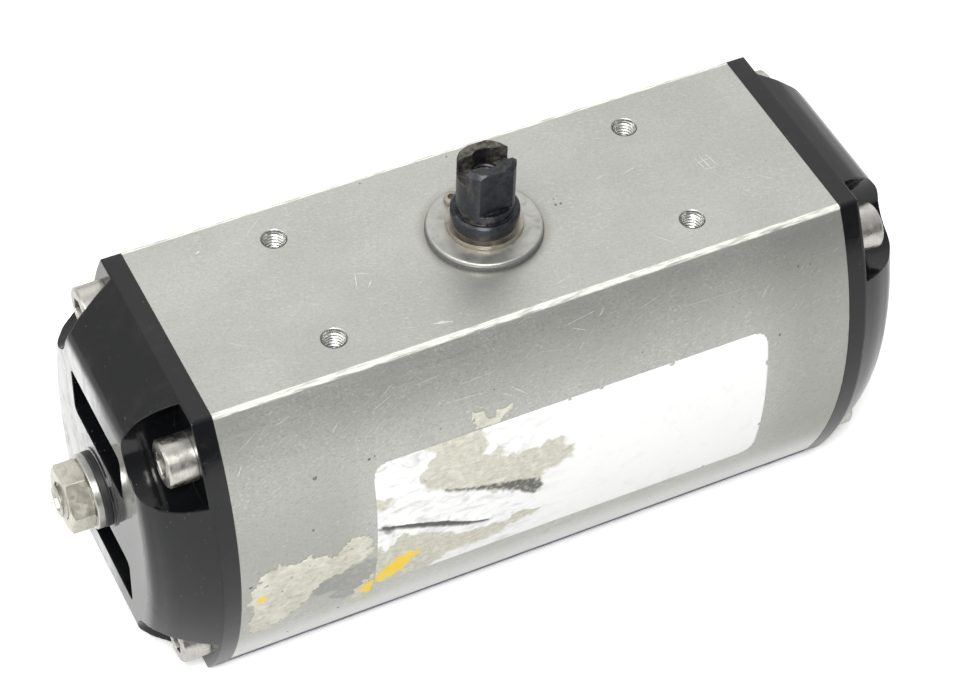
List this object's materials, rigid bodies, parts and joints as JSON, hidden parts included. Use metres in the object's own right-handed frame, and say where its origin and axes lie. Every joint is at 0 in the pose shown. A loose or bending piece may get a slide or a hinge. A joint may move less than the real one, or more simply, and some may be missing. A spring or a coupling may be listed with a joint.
{
  "type": "rotary pneumatic actuator",
  "caption": "Compact rack-and-pinion quarter-turn pneumatic actuator with black end caps, slotted drive shaft, torn front label and adjustable travel stops.",
  "frame": {"origin": "centre of the bottom mounting face on the pinion axis", "axes": "+Z along the pinion axis towards the slotted shaft end, +X along the piston bore, -Y towards the label side"},
  "size_m": [0.1908, 0.0728, 0.098],
  "materials": {
    "anodised_body": "satin anodised, fine brushed along the length",
    "black_cap": "gloss black coating",
    "stainless": "turned stainless",
    "nut_steel": "passivated",
    "rubber_black": "smooth",
    "dark_shaft_steel": "blackened, worn at the slot",
    "spring_steel": "phosphated",
    "cast_aluminium": "as cast, machined rack",
    "label_white": "adhesive film, torn",
    "polymer_grey": "moulded",
    "polymer_natural": "moulded"
  },
  "bodies": {
    "housing": {"body_housing": "anodised_body", "end_cap_left": "black_cap", "end_cap_right": "black_cap", "cap_screws_left": "stainless", "cap_screws_right": "stainless", "cap_oring_left": "rubber_black", "cap_oring_right": "rubber_black", "pinion_bush_bottom": "polymer_natural", "pinion_bush_top": "polymer_natural", "thrust_bearing": "polymer_grey", "thrust_washer": "stainless", "stop_nut_left": "nut_steel", "stop_nut_right": "nut_steel", "stop_washer_left": "stainless", "stop_washer_right": "stainless", "stop_seal_left": "rubber_black", "stop_seal_right": "rubber_black", "rating_label": "label_white"},
    "pinion_shaft": {"pinion": "dark_shaft_steel", "pinion_oring_bottom": "rubber_black", "pinion_oring_top": "rubber_black", "retaining_ring": "spring_steel"},
    "left_piston": {"piston_left": "cast_aluminium", "piston_oring_left": "rubber_black", "piston_guide_band_left": "polymer_natural", "piston_pad_left": "polymer_natural"},
    "right_piston": {"piston_right": "cast_aluminium", "piston_oring_right": "rubber_black", "piston_guide_band_right": "polymer_natural", "piston_pad_right": "polymer_natural"},
    "left_stop": {"stop_screw_left": "stainless"},
    "right_stop": {"stop_screw_right": "stainless"}
  },
  "joints": [
    {"name": "pinion_turn", "type": "hinge", "parent": "housing", "child": "pinion_shaft", "pos_m": [0, 0, 0], "axis": [0, 0, 1], "range_deg": [0, 90]},
    {"name": "piston_left_slide", "type": "slide", "parent": "housing", "child": "left_piston", "axis": [1, 0, 0], "range_m": [-0.0158, 0]},
    {"name": "piston_right_slide", "type": "slide", "parent": "housing", "child": "right_piston", "axis": [1, 0, 0], "range_m": [0, 0.0158]},
    {"name": "stop_screw_left_adjust", "type": "slide", "parent": "housing", "child": "left_stop", "axis": [-1, 0, 0], "range_m": [0, 0.004]},
    {"name": "stop_screw_right_adjust", "type": "slide", "parent": "housing", "child": "right_stop", "axis": [1, 0, 0], "range_m": [0, 0.004]}
  ],
  "couplings": [
    {"joint": "piston_left_slide", "follows": "pinion_turn", "m_per_rad": -0.01},
    {"joint": "piston_right_slide", "follows": "pinion_turn", "m_per_rad": 0.01}
  ]
}
